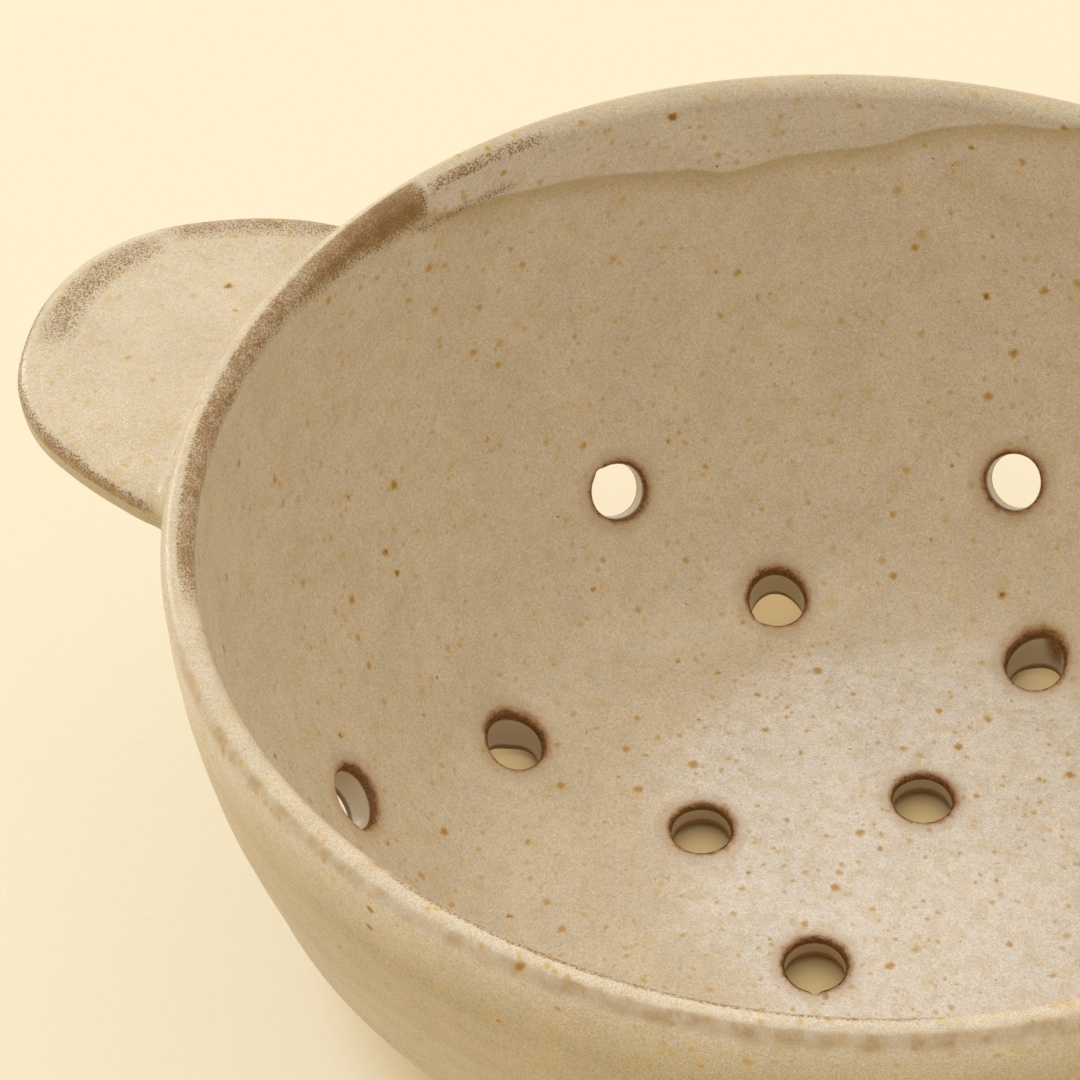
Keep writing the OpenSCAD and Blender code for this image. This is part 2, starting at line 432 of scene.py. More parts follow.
# Places where the glaze is thin and the brown clay breaks through: the azimuths, the softness of both ends,
# the mm from the crest, negative inside, the softness of both edges, and the strength
THIN_BOWL = [
    ((155.4, 160), (1.0, 6), (-4.6, -0.2), (2.4, 0.9), 0.95),
    ((159, 168), (5, 9), (-3.2, -0.3), (3.0, 0.8), 0.8),
    ((164, 210), (9, 8), (-1.7, -0.5), (3.3, 0.8), 0.64),
    ((142, 153), (4, 1.5), (-2.2, -1.6), (1.0, 0.9), 0.45),
    ((146, 155), (5, 1.5), (-8.4, -7.8), (0.6, 0.7), 0.45),
    ((222, 262), (9, 9), (1.1, 1.6), (0.7, 1.6), 0.4),
    ((264, 300), (9, 9), (1.0, 1.7), (0.8, 2.0), 0.46),
    ((256, 292), (9, 7), (-1.5, -1.1), (0.6, 0.6), 0.46),
    ((304, 345), (12, 12), (1.0, 1.8), (0.9, 2.2), 0.42),
    ((350, 400), (12, 12), (-2.6, -1.2), (2.8, 0.8), 0.5),
    ((60, 80), (8, 8), (-2.6, -1.4), (1.6, 1.0), 0.35),
]
# Brown ring round a hole: its width, how much wider it is on one side, and that side's azimuth
RING_WIDTH = 0.64 * MM
RING_BIAS = 0.2
RING_TURN = math.radians(60)
# What counts as far from every hole, and how far along its axis a hole still counts
FAR = 30 * MM
BORE_REACH = 14 * MM
# Ripples that the fingers left: their height, and the distances from the crest between which they set in.
# Each wave: length in mm along the section, turns of its spiral, share and phase
RIPPLE_OUTSIDE = 0.07 * MM
RIPPLE_OUTSIDE_FROM = (3 * MM, 9 * MM)
WAVES_OUTSIDE = [(5.2, 1, 1.0, 0), (8.7, 2, 0.5, 1.3)]
RIPPLE_INSIDE = 0.035 * MM
RIPPLE_INSIDE_FROM = (3 * MM, 12 * MM)
WAVES_INSIDE = [(9.5, -1, 1.0, 0.6), (17, 2, 0.6, 2.1)]
# Distances from a hole over which ripples, ridge and coat set in
CALM = (0.5 * MM, 4 * MM)
# Ridge that the trimming tool left outside: its height, mm from the crest, half width in mm, the mean and
# the swing of its height as shares, and the azimuth where it is highest, in radians
RIDGE = 0.45 * MM
RIDGE_FROM_CREST = 39.5
RIDGE_W = 3
RIDGE_MEAN = 0.55
RIDGE_SWING = 0.45
RIDGE_TURN = 4.0
# Pool of glaze on the floor, also painted light: its middle, and the radii and the heights between which it
# thins out
POOL_AT = (11 * MM, 7 * MM)
POOL_R = (20 * MM, 50 * MM)
POOL_H = (1 * MM, 7 * MM)
# Painted shade outside, darker and yellower glaze colour: the mm from the crest between which it sets in,
# how many mm later that is on the sunny side, which the light comes from, and that side's azimuths with
# their softness
OUTER_SHADE_FROM = (1.5, 12)
SUNNY_LATER = (5, 13)
SUNNY = (165, 215, (15, 25))
# Stretches of the crest with painted shade: azimuths, their softness and the strength, and how far down
# they reach
CREST_SHADES = [(60, 150, (20, 12), 0.7), (170, 235, (15, 20), 0.2)]
CREST_SHADE_W = 2.6 * MM
# Half width of the edges of the stippled part and of the bare underside, and how high the latter reaches
LOOK_EDGE = 0.5 * MM
UNDER_H = 1 * MM


def near_holes(points):
    """Distance of each point from the edge of the nearest hole's bore, zero in the bore, and how wide the
    ring of bare clay round it is there: widest on the side where the glaze ran off."""
    best = np.full(len(points), FAR)
    ring = np.zeros(len(points))
    for hole in hole_list():
        away = points - hole["middle"]
        along = away @ hole["axis"]
        aside = np.linalg.norm(away - along[:, None] * hole["axis"], axis=1) - HOLE_R
        aside[np.abs(along) > BORE_REACH] = FAR
        nearer = aside < best
        turn = np.arctan2(away[:, 1], away[:, 0]) - RING_TURN
        ring = np.where(nearer, RING_WIDTH * (1 + RING_BIAS * np.cos(turn)), ring)
        best = np.where(nearer, aside, best)
    return np.maximum(best, 0), ring


def turn_degrees(points):
    return np.degrees(np.arctan2(points[:, 1], points[:, 0])) % 360


def patches(table, turn, across):
    """The strongest of a table's soft-edged patches at each point."""
    best = np.zeros(len(turn))
    for (low, high), soft_turn, (near, far), soft_across, strength in table:
        middle = (low + high) / 2
        offset = (turn - middle + 180) % 360 - 180 + middle
        here = strength * band(offset, low, high, soft_turn) * band(across, near, far, soft_across)
        best = np.maximum(best, here)
    return best


def below_overlap(points, lip, depth):
    """How many mm each point of the inside lies below the end of the second coat."""
    below = -lip / MM - LIP_ROUND - curve(OVERLAP, turn_degrees(points))
    inside = (depth < 0.5) & (lip < 0)
    return np.clip(np.where(inside, below, OVERLAP_FAR), -OVERLAP_FAR, OVERLAP_FAR)


def waves(table, lip, turn):
    return sum(share * np.sin(2 * math.pi * lip / (length * MM) + turns * turn + phase)
               for length, turns, share, phase in table)


def ripple(points, lip, depth):
    """Throwing rings, trimming marks and the second coat: how far each point moves out along its normal."""
    turn = np.arctan2(points[:, 1], points[:, 0])
    outside = smooth(*RIPPLE_OUTSIDE_FROM, lip)
    within = smooth(*RIPPLE_INSIDE_FROM, -lip) * (depth < 0.5)
    rings = RIPPLE_OUTSIDE * waves(WAVES_OUTSIDE, lip, turn)
    soft = RIPPLE_INSIDE * waves(WAVES_INSIDE, lip, turn)
    ridge = RIDGE * np.exp(-((lip / MM - RIDGE_FROM_CREST) / RIDGE_W) ** 2)
    ridge *= RIDGE_MEAN + RIDGE_SWING * np.cos(turn - RIDGE_TURN)
    coat = COAT * (1 - smooth(*COAT_SLOPE, below_overlap(points, lip, depth))) * (depth < 0.5)
    coat *= smooth(*COAT_FROM, -lip)
    return (rings + ridge) * outside + soft * within + coat


def pooled_and_lit(points):
    """Where the glaze ran together on the floor, which wasn't quite level in the kiln: also painted light.
    """
    r = np.hypot(points[:, 0] - POOL_AT[0], points[:, 1] - POOL_AT[1])
    return (1 - smooth(*POOL_R, r)) * (1 - smooth(*POOL_H, points[:, 2] - FLOOR_Z))


def painted_outer_shade(turn, lip, depth):
    """Painted shade, darker and yellower: outside, setting in later on the sunny side, and along parts of
    the crest.
    """
    sunny = band(turn, *SUNNY)
    near, far = ((start + later * sunny) * MM for start, later in zip(OUTER_SHADE_FROM, SUNNY_LATER))
    crest = sum(tone * band(turn, low, high, soft) for low, high, soft, tone in CREST_SHADES)
    crest = crest * np.exp(-(lip / CREST_SHADE_W) ** 2)
    return np.maximum((depth > 0.5) * smooth(near, far, lip), crest)


def make_bowl():
    points, faces, lip, depth = bowl_mesh()
    near_hole, ring = near_holes(points)
    obj = new_mesh("bowl", fired(points), faces)
    mesh = obj.data
    shaped = bmesh.new()
    shaped.from_mesh(mesh)
    bmesh.ops.recalc_face_normals(shaped, faces=shaped.faces)
    shaped.to_mesh(mesh)
    shaped.free()
    place, normal = np.empty((2, len(mesh.vertices) * 3), np.float32)
    mesh.vertices.foreach_get("co", place)
    mesh.vertices.foreach_get("normal", normal)
    out = np.repeat(ripple(points, lip, depth) * smooth(*CALM, near_hole), 3)
    mesh.vertices.foreach_set("co", (place + normal * out).astype(np.float32))
    turn = turn_degrees(points)
    under_foot = smooth(FOOT_R + LOOK_EDGE, FOOT_R - LOOK_EDGE, np.hypot(points[:, 0], points[:, 1]))
    set_looks(mesh, {
        "hole": near_hole / MM,
        "ring": ring / MM,
        "through": depth,
        "thin": patches(THIN_BOWL, turn, lip / MM),
        "below": below_overlap(points, lip, depth),
        # paler pool: pooled glaze and painted light on the floor
        "pool_and_light": (depth < 0.5) * pooled_and_lit(points),
        # painted shade: the outside and parts of the crest are darker and yellower
        "painted_shade": painted_outer_shade(turn, lip, depth),
        "stipple": 1 - smooth(-LOOK_EDGE, LOOK_EDGE, lip),
        "under": (depth > 0.5) * under_foot * (points[:, 2] < UNDER_Z + UNDER_H),
    })
    return obj


# Handles

# Middle of a handle's outline, its top, its thickness, its dish with how far in from the edge that sets in
# and is full, its bevel and the most that it counts, its edges, and the fillet to the wall
LUG_MIDDLE = 81.2 * MM * FIRED
LUG_TOP = CREST_Z - 6 * MM
LUG_T = 4.8 * MM
LUG_DISH = 0.5 * MM
LUG_DISH_FROM = (-2 * MM, -12 * MM)
LUG_BEVEL = 0.9 * MM
LUG_BEVEL_W = 2.6 * MM
LUG_BEVEL_MOST = 1.2
LUG_TOP_EDGE = 0.6 * MM
LUG_UNDER_EDGE = 1.2 * MM
LUG_FILLET = 2.6 * MM
# How far a handle's mesh sinks into the wall, how far along the wall it goes past its fillet, and how deep
# its root reaches
BURY = 0.012 * MM
LUG_SPARE = 0.6 * MM
LUG_ROOT = 1.2 * MM
# Outline seen from above: direction from outwards in degrees, and mm from the handle's middle
LUG_OUTLINE = [(-180, 31), (-130, 30), (-100, 28.6), (-85, 26.7), (-70, 25.9), (-50, 26.3), (-35, 26.7),
               (-12, 26.9), (5, 27.7), (25, 28.5), (42, 28.4), (60, 27.7), (75, 27.8), (92, 28.4),
               (130, 30), (180, 31)]
# Where its glaze is thin: directions, their softness, mm in from the edge, their softness, and strength
THIN_LUG = [
    ((-8, 34), (14, 14), (3.4, 4.8), (2.6, 3.2), 0.42),
    ((54, 100), (16, 8), (0.5, 2.2), (1.2, 4.0), 0.5),
    ((-70, 0), (10, 12), (-0.2, 0.4), (0.4, 0.8), 0.5),
    ((-108, -58), (6, 14), (-0.2, 0.2), (0.3, 0.45), 0.64),
    ((-10, 60), (12, 12), (-0.2, 0.3), (0.5, 0.5), 0.35),
]
# Distances in mm from the wall between which it thins, the heights between which its top is spared the
# painted shade of its sides, and how much of it is spared
LUG_THIN_FROM = (0.8, 5.0)
LUG_TOP_UNSHADED_FROM = (LUG_TOP - 1.8 * MM, LUG_TOP - 1.0 * MM)
LUG_TOP_UNSHADED = 0.82
# The box that its mesh is found in: where it starts, its reach, and the room at its sides and above and
# below. Then the size of a cell, and the rounds that even out the mesh.
NET_START = 68 * MM
NET_REACH = 28 * MM
NET_SIDE = 4 * MM
NET_SPARE = LUG_FILLET + 1.5 * MM
NET_STEP = 0.52 * MM
NET_ROUNDS = 4


def wall_distance(points):
    """Distance outside the fired wall, for points near the lip."""
    turn = np.arctan2(points[:, 1], points[:, 0]) - LIP_TURN
    r = np.hypot(points[:, 0], points[:, 1]) / FIRED - harmonics(LIP_OUT, turn)
    z = (points[:, 2] - LIFT) / FIRED - harmonics(LIP_UP, turn)
    straight = r - BOWL_R
    belly = np.hypot(r - BELLY_C[0], z - BELLY_C[1]) - SHELL_R
    return np.where(z > BELLY_Z, straight, belly) * FIRED


def lug_plan(points, side):
    """Direction in degrees and distance outside the outline, seen from above. side is -1 for the left
    handle and 1 for the right one, which is the left one turned half round."""
    u = points[:, 0] * side - LUG_MIDDLE
    v = -points[:, 1] * side
    turn = np.degrees(np.arctan2(v, u))
    return turn, np.hypot(u, v) - curve(LUG_OUTLINE, turn) * MM * FIRED


def lug_distance(points, side):
    """Rough signed distance from a handle's slab."""
    plan = lug_plan(points, side)[1]
    dish = LUG_DISH * smooth(*LUG_DISH_FROM, plan)
    height = points[:, 2] - (LUG_TOP - LUG_T / 2) + dish * 0.5
    bevel = LUG_BEVEL * np.clip(1 + plan / LUG_BEVEL_W, 0, LUG_BEVEL_MOST) ** 2
    above = height - (LUG_T / 2 - dish * 0.5) + bevel
    below = -height - LUG_T / 2 + dish * 0.5
    upright = np.maximum(above, below)
    edge = np.where(height > 0, LUG_TOP_EDGE, LUG_UNDER_EDGE)
    a, b = plan + edge, upright + edge
    return np.minimum(np.maximum(a, b), 0) + np.hypot(np.maximum(a, 0), np.maximum(b, 0)) - edge


def lug_field(points, side):
    """The slab joined to the wall by a round fillet, cut off where it would only repeat the wall."""
    slab = lug_distance(points, side)
    wall = wall_distance(points) + BURY
    c = LUG_FILLET
    rounded = np.hypot(np.maximum(c - slab, 0), np.maximum(c - wall, 0))
    joined = np.maximum(c, np.minimum(slab, wall)) - rounded
    shell = np.maximum(slab - c - LUG_SPARE, -(wall + LUG_ROOT))
    return np.maximum(joined, shell)


def surface_net(field, low, high, step):
    """Quads of a field's zero surface: one point in each grid cell that it crosses."""
    axes = [np.arange(a, b + step, step) for a, b in zip(low, high)]
    grid = np.stack(np.meshgrid(*axes, indexing="ij"), -1)
    shape = grid.shape[:3]
    within = (field(grid.reshape(-1, 3)) < 0).reshape(shape)
    corners = sum(
        within[i:shape[0] - 1 + i, j:shape[1] - 1 + j, k:shape[2] - 1 + k].astype(int)
        for i in (0, 1) for j in (0, 1) for k in (0, 1)
    )
    mixed = (corners > 0) & (corners < 8)
    number = np.full(mixed.shape, -1)
    number[mixed] = np.arange(mixed.sum())
    points = grid[:-1, :-1, :-1][mixed] + step / 2
    quads = []
    for axis in range(3):
        ahead = np.roll(within, -1, axis)
        crossing = within != ahead
        for k in range(3):
            layers = np.moveaxis(crossing, k, 0)
            layers[-1] = False
            if k != axis:
                layers[0] = False
        place = np.argwhere(crossing)
        b, c = [np.eye(3, dtype=int)[k] for k in range(3) if k != axis]
        cells = [place - b - c, place - c, place, place - b]
        quad = np.stack([number[tuple(cell.T)] for cell in cells], 1)
        forward = within[tuple(place.T)] != (axis == 1)
        quad[~forward] = quad[~forward][:, ::-1]
        quads.append(quad)
    return points, np.concatenate(quads)


def settle_on(points, quads, field, rounds):
    """Draws the points onto the zero surface and evens out their spacing."""
    tiny = 0.02 * MM
    flattest = 0.05
    draws = 3
    stay = 0.4
    pairs = np.concatenate([quads[:, [k, (k + 1) % 4]] for k in range(4)])
    count = np.bincount(pairs[:, 0], minlength=len(points)).astype(float)

    def draw(p):
        for _ in range(draws):
            value = field(p)
            slope = np.stack([(field(p + e) - field(p - e)) / (2 * tiny) for e in np.eye(3) * tiny], -1)
            size = np.maximum((slope ** 2).sum(1), flattest)
            p = p - (value / size)[:, None] * slope
        return p

    points = draw(points)
    for _ in range(rounds):
        mean = np.stack([
            np.bincount(pairs[:, 0], points[pairs[:, 1], k], len(points)) for k in range(3)
        ], -1) / count[:, None]
        points = draw(points * stay + mean * (1 - stay))
    return points


def make_handle(name, side):
    low = np.array([NET_START, -NET_REACH - NET_SIDE, LUG_TOP - LUG_T - NET_SPARE])
    high = np.array([LUG_MIDDLE + NET_REACH, NET_REACH + NET_SIDE, LUG_TOP + NET_SPARE])
    if side < 0:
        low[0], high[0] = -high[0], -low[0]

    def field(p):
        return lug_field(p, side)

    points, quads = surface_net(field, low, high, NET_STEP)
    points = settle_on(points, quads, field, NET_ROUNDS)
    obj = new_mesh(name, points, quads)
    turn, plan = lug_plan(points, side)
    none, full = np.zeros(len(points)), np.ones(len(points))
    upper = points[:, 2] > LUG_TOP - LUG_T / 2
    thin = patches(THIN_LUG, turn, -plan / MM) * smooth(*LUG_THIN_FROM, wall_distance(points) / MM)
    set_looks(obj.data, {
        "hole": full * FAR / MM,
        "ring": none,
        "through": full,
        "thin": thin * upper,
        "below": full * OVERLAP_FAR,
        "pool_and_light": none,
        # painted shade: the sides are darker and yellower than the top
        "painted_shade": 1 - LUG_TOP_UNSHADED * smooth(*LUG_TOP_UNSHADED_FROM, points[:, 2]),
        "stipple": full,
        "under": none,
    })
    return obj


# Foot ring

# Its thickness, lean and softened edge, as the frame has them, its flare, how far it runs up into the
# underside, where a row of points lies on its sole, the angles of its arcs, and the steps round it
FOOT_T = 5 * MM
FOOT_LEAN = 0.4 * MM
FOOT_EDGE = 0.4 * MM
FOOT_FLARE = 0.35 * MM
FOOT_ROOT = 0.2 * MM
SOLE_SHARE = 0.4
FOOT_ARC = np.linspace(0, math.pi / 2, 6)
FOOT_AROUND = 240


def make_foot():
    """The ring's section turned round the axis, with a flare where it runs up into the underside."""
    under = UNDER_Z * FIRED + LIFT
    half = FOOT_T / 2
    mid = FOOT_R * FIRED - half
    flare = [(half + FOOT_FLARE * (1 - math.sin(t)), under - FOOT_FLARE * (1 - math.cos(t)))
             for t in FOOT_ARC]
    sole = [(half - FOOT_LEAN - FOOT_EDGE * (1 - math.cos(t)), FOOT_EDGE * (1 - math.sin(t)))
            for t in FOOT_ARC]
    run = [(half + FOOT_FLARE, under + FOOT_ROOT)] + flare + sole + [(half * SOLE_SHARE, 0)]
    outline = np.array([(mid + w, z) for w, z in run] + [(mid - w, z) for w, z in run[::-1]])
    points = turned(outline, FOOT_AROUND)
    index = np.arange(len(points)).reshape(len(outline), FOOT_AROUND)
    nexts = np.roll(index, -1, 1)
    below = np.roll(index, -1, 0)
    below_next = np.roll(nexts, -1, 0)
    faces = np.stack([index, below, below_next, nexts], -1).reshape(-1, 4)
    return new_mesh("foot", points, faces)


bowl = make_bowl()
left_handle = make_handle("left_lug", -1)
right_handle = make_handle("right_lug", 1)
foot = make_foot()

# Materials

# Glaze: where it is thick, as it mostly is, and where it is darker, a colour also used for painted shade
OAT_THICK = (0.765, 0.695, 0.595)
OAT = (0.665, 0.553, 0.392)
OAT_DARK_AND_SHADE = (0.55, 0.42, 0.22)
# Bores of the holes, and the line where they come out
BORE_OLIVE = (0.58, 0.49, 0.33)
BORE_DARK = (0.15, 0.08, 0.03)
# Iron spots
GOLD = (0.60, 0.39, 0.11)
RUST = (0.48, 0.235, 0.04)
SOOT = (0.05, 0.04, 0.03)
# Clay under thin glaze
BROWN = (0.25, 0.11, 0.03)
BROWN_DARK = (0.125, 0.05, 0.012)
BROWN_PALE = (0.36, 0.195, 0.058)
BROWN_WARM = (0.36, 0.16, 0.045)
BROWN_GREY = (0.20, 0.108, 0.038)
# Bare clay
CLAY = (0.34, 0.18, 0.08)
CLAY_DARK = (0.24, 0.12, 0.05)
# Floor: its colour, the warmer and darker one near the bowl, which paints shade and bounce light from the
# clay, and the mm from the axis between which that fades
FLOOR_CREAM = (0.93, 0.81, 0.585)
FLOOR_BOUNCE_TINT = (0.86, 0.66, 0.33)
FLOOR_BOUNCE_TINT_R = (50, 72)
# Share and strength of the glow that the camera sees in the floor, painted light that lifts the bowl's
# shadow, and the mm between which it sets in
FLOOR_PAINTED_LIGHT = 0.62
FLOOR_GLOW = 1.06
FLOOR_PAINTED_LIGHT_R = (54, 72)


class Graph:
    """One material's nodes, with a short call for each kind. Sizes are in mm."""

    def __init__(self, name):
        self.material = bpy.data.materials.new(name)
        self.material.use_nodes = True
        self.nodes = self.material.node_tree.nodes
        self.shader = self.nodes["Principled BSDF"]
        scaled = self.nodes.new("ShaderNodeVectorMath")
        scaled.operation = "SCALE"
        scaled.inputs["Scale"].default_value = 1 / MM
        self.feed(scaled.inputs[0], self.nodes.new("ShaderNodeTexCoord").outputs["Object"])
        self.place = scaled.outputs[0]

    def feed(self, socket, value):
        if isinstance(value, bpy.types.NodeSocket):
            self.material.node_tree.links.new(value, socket)
        elif isinstance(value, tuple) and socket.type == "RGBA":
            socket.default_value = (*value, 1)
        else:
            socket.default_value = value

    def look(self, name):
        """A value that the mesh's points carry."""
        node = self.nodes.new("ShaderNodeAttribute")
        node.attribute_name = name
        return node.outputs["Fac"]

    def math(self, operation, *values):
        node = self.nodes.new("ShaderNodeMath")
        node.operation = operation
        for socket, value in zip(node.inputs, values):
            self.feed(socket, value)
        return node.outputs[0]

    def times(self, first, second):
        return self.math("MULTIPLY", first, second)

    def total(self, *terms):
        """Sum of (share, value) pairs."""
        made = 0.0
        for share, value in terms:
            made = self.math("MULTIPLY_ADD", value, share, made)
        return made

    def step(self, value, low, high, to_low=0.0, to_high=1.0):
        """A soft step from to_low to to_high as the value goes from low to high."""
        node = self.nodes.new("ShaderNodeMapRange")
        node.interpolation_type = "SMOOTHSTEP"
        ends = {"From Min": low, "From Max": high, "To Min": to_low, "To Max": to_high, "Value": value}
        for key, given in ends.items():
            self.feed(node.inputs[key], given)
        return node.outputs["Result"]

    def mix(self, share, first, second):
        node = self.nodes.new("ShaderNodeMix")
        node.data_type = "RGBA"
        self.feed(node.inputs[0], share)
        self.feed(node.inputs[6], first)
        self.feed(node.inputs[7], second)
        return node.outputs[2]

    def shade(self, colour, amount):
        """Colour made lighter or darker by an amount."""
        node = self.nodes.new("ShaderNodeVectorMath")
        node.operation = "SCALE"
        self.feed(node.inputs[0], colour)
        self.feed(node.inputs["Scale"], amount)
        return node.outputs[0]

    def noise(self, size, detail=1.0, rough=0.5):
        """Noise from 0 to 1, mostly near a half."""
        node = self.nodes.new("ShaderNodeTexNoise")
        self.feed(node.inputs["Vector"], self.place)
        node.inputs["Scale"].default_value = 1 / size
        node.inputs["Detail"].default_value = detail
        node.inputs["Roughness"].default_value = rough
        return node.outputs["Fac"]

    def swing(self, size, detail=1.0, rough=0.5, spread=0.2):
        """Noise stretched to run from -1 to 1. It gets there at the spread on either side of a half."""
        return self.step(self.noise(size, detail, rough), 0.5 - spread, 0.5 + spread, -1, 1)

    def warped(self, size, amount):
        """The place, pushed about so that round spots turn out ragged."""
        noise = self.nodes.new("ShaderNodeTexNoise")
        self.feed(noise.inputs["Vector"], self.place)
        noise.inputs["Scale"].default_value = 1 / size
        node = self.nodes.new("ShaderNodeVectorMath")
        node.operation = "MULTIPLY_ADD"
        self.feed(node.inputs[0], noise.outputs["Color"])
        node.inputs[1].default_value = (amount, amount, amount)
        self.feed(node.inputs[2], self.place)
        return node.outputs[0]

    def spots(self, place, cell, radius, share):
        """Round spots, one at most in each cell. Gives their mask and a random number for each."""
        node = self.nodes.new("ShaderNodeTexVoronoi")
        self.feed(node.inputs["Vector"], place)
        node.inputs["Scale"].default_value = 1 / cell
        chance = self.nodes.new("ShaderNodeSeparateColor")
        self.feed(chance.inputs[0], node.outputs["Color"])
        reach = self.math("MULTIPLY_ADD", chance.outputs[1], radius, radius * 0.5)
        distance = self.times(node.outputs["Distance"], cell)
        inside = self.step(self.math("DIVIDE", distance, reach), 0.15, 1.0, 1.0, 0.0)
        chosen = self.math("LESS_THAN", chance.outputs[0], share)
        return self.times(inside, chosen), chance.outputs[2]

    def bump(self, height):
        """Bump by a height in mm."""
        node = self.nodes.new("ShaderNodeBump")
        node.inputs["Distance"].default_value = MM
        self.feed(node.inputs["Height"], height)
        self.feed(self.shader.inputs["Normal"], node.outputs[0])


def coats(g, grain, sand, blotch, drift):
    """Colour of the glaze: paler in the pool on the floor, which is pooled glaze and painted light, and in
    the second coat; painted shade outside and a painted shadow below that coat's end. Gives it with the
    second coat's mask."""
    # Paler where the glaze pools on the floor: pooled glaze and painted light
    pool_and_light = g.step(g.total((1, g.look("pool_and_light")), (1.3, g.noise(24, 2))), 0.75, 1.55)
    colour = g.mix(g.step(blotch, -0.3, 0.8, 0, 0.34), g.mix(pool_and_light, OAT, OAT_THICK), OAT_DARK_AND_SHADE)
    line = g.total((1, g.look("below")), (0.9, g.swing(12, 0)))
    one_coat = g.step(line, -0.4, 0.3)
    # Painted shadow below the end of the second coat
    coat_edge_shadow = g.times(one_coat, g.step(line, 0.1, 4.5, 0.95, 0))
    colour = g.mix(coat_edge_shadow, colour, OAT_DARK_AND_SHADE)
    second_coat = g.math("SUBTRACT", 1, one_coat)
    colour = g.mix(g.times(second_coat, 0.25), colour, OAT_THICK)
    # Painted shade outside and on the handles' sides: darker and yellower
    painted_shade = g.look("painted_shade")
    colour = g.mix(g.times(painted_shade, 0.85), colour, OAT_DARK_AND_SHADE)
    light = g.total((0.14, grain), (0.04, sand), (0.03, blotch), (0.035, drift), (-0.12, painted_shade), (1, 1.015))
    return g.shade(colour, light), second_coat


def iron_spots(g, colour):
    """Iron spots in the glaze: wide faint ones, small gold ones, large gold ones with a rusty middle, of
    which some have a brown core, and black pinpricks."""
    ragged = g.warped(0.7, 0.85)

    def plain(colour, cell, radius, share, faintest, strongest, tint):
        mask, tone = g.spots(ragged, cell, radius, share)
        return g.mix(g.times(mask, g.step(tone, 0, 1, faintest, strongest)), colour, tint)

    colour = plain(colour, 2.3, 1.2, 0.6, 0.08, 0.32, GOLD)
    colour = plain(colour, 1.4, 0.46, 0.68, 0.3, 1.0, GOLD)
    large, tone = g.spots(ragged, 3.2, 0.8, 0.6)
    strong = g.step(tone, 0.1, 1, 0.32, 1.0)
    colour = g.mix(g.times(g.step(large, 0, 0.6), g.times(strong, 0.75)), colour, GOLD)
    colour = g.mix(g.times(g.step(large, 0.35, 1.0), g.times(strong, 0.85)), colour, RUST)
    core = g.times(g.step(large, 0.66, 0.98), g.step(tone, 0.72, 0.98, 0, 0.8))
    colour = g.mix(core, colour, BROWN)
    return plain(colour, 4.3, 0.24, 0.5, 0.3, 0.9, SOOT)


def worn(g, colour, grain, dots, sand, blotch, drift):
    """Brown clay where the glaze is thin, torn into specks at its edges. Gives the colour and its mask."""
    thin, stipple = g.look("thin"), g.look("stipple")
    fine = g.times(g.total((0.16, grain), (0.12, dots), (0.08, sand)), g.step(stipple, 0, 1, 0.25, 1))
    torn = g.total((1, fine), (0.1, blotch), (0.06, drift))
    broken = g.math("ADD", thin, g.times(torn, g.step(thin, 0.02, 0.3)))
    veil = g.step(broken, 0.1, 0.85)
    colour = g.mix(g.times(veil, 0.9), colour, BROWN_PALE)
    deep = g.step(g.total((1, broken), (0.8, fine), (0.1, blotch)), 0.55, 1.05)
    colour = g.mix(g.times(deep, 0.7), colour, BROWN_GREY)
    glint = g.times(g.step(g.total((0.5, grain), (0.5, sand)), 0.3, 0.8), veil)
    colour = g.mix(g.times(glint, 0.4), colour, GOLD)
    speck = g.step(g.total((1.6, thin), (0.6, dots), (0.5, grain)), 0.72, 1.0)
    speck = g.times(speck, g.times(g.step(thin, 0.03, 0.2), g.step(thin, 0.4, 0.7, 1, 0.35)))
    return g.mix(g.times(g.times(speck, stipple), 0.72), colour, BROWN_GREY), veil


def hole_rings(g, colour, grain, sand):
    """Rings of brown clay round the holes, with a tan halo, olive glaze in the bores and a dark line where
    they come out. Gives the colour, the mask of bare clay and that of its warm border."""
    hole, through = g.look("hole"), g.look("through")
    frayed = g.total((1, hole), (0.13, g.swing(1.3, 2)), (0.07, grain), (0.05, sand))
    halo = g.times(g.step(hole, 0.7, 3.2, 0.4, 0), g.step(grain, -1, 1, 0.7, 1))
    colour = g.mix(halo, colour, BROWN_PALE)
    from_ring = g.math("DIVIDE", frayed, g.math("MAXIMUM", g.look("ring"), 0.1))
    bore = g.times(g.step(hole, 0.05, 0.3, 1, 0), g.step(through, 0.03, 0.12))
    exit_line = g.times(bore, g.step(through, 0.82, 0.92))
    inside = g.times(g.math("SUBTRACT", 1, g.times(bore, 0.92)), g.step(through, 0.5, 0.98, 1, 0.35))
    glow = g.times(g.step(from_ring, 0.5, 2.0, 0.9, 0), inside)
    bare = g.times(g.step(from_ring, 0.25, 0.85, 0.95, 0), inside)
    colour = g.mix(bore, colour, BORE_OLIVE)
    colour = g.mix(glow, colour, BROWN_WARM)
    colour = g.mix(bare, colour, g.mix(g.step(grain, -0.2, 1), BROWN_DARK, BROWN))
    return g.mix(g.times(exit_line, 0.85), colour, BORE_DARK), bare, glow


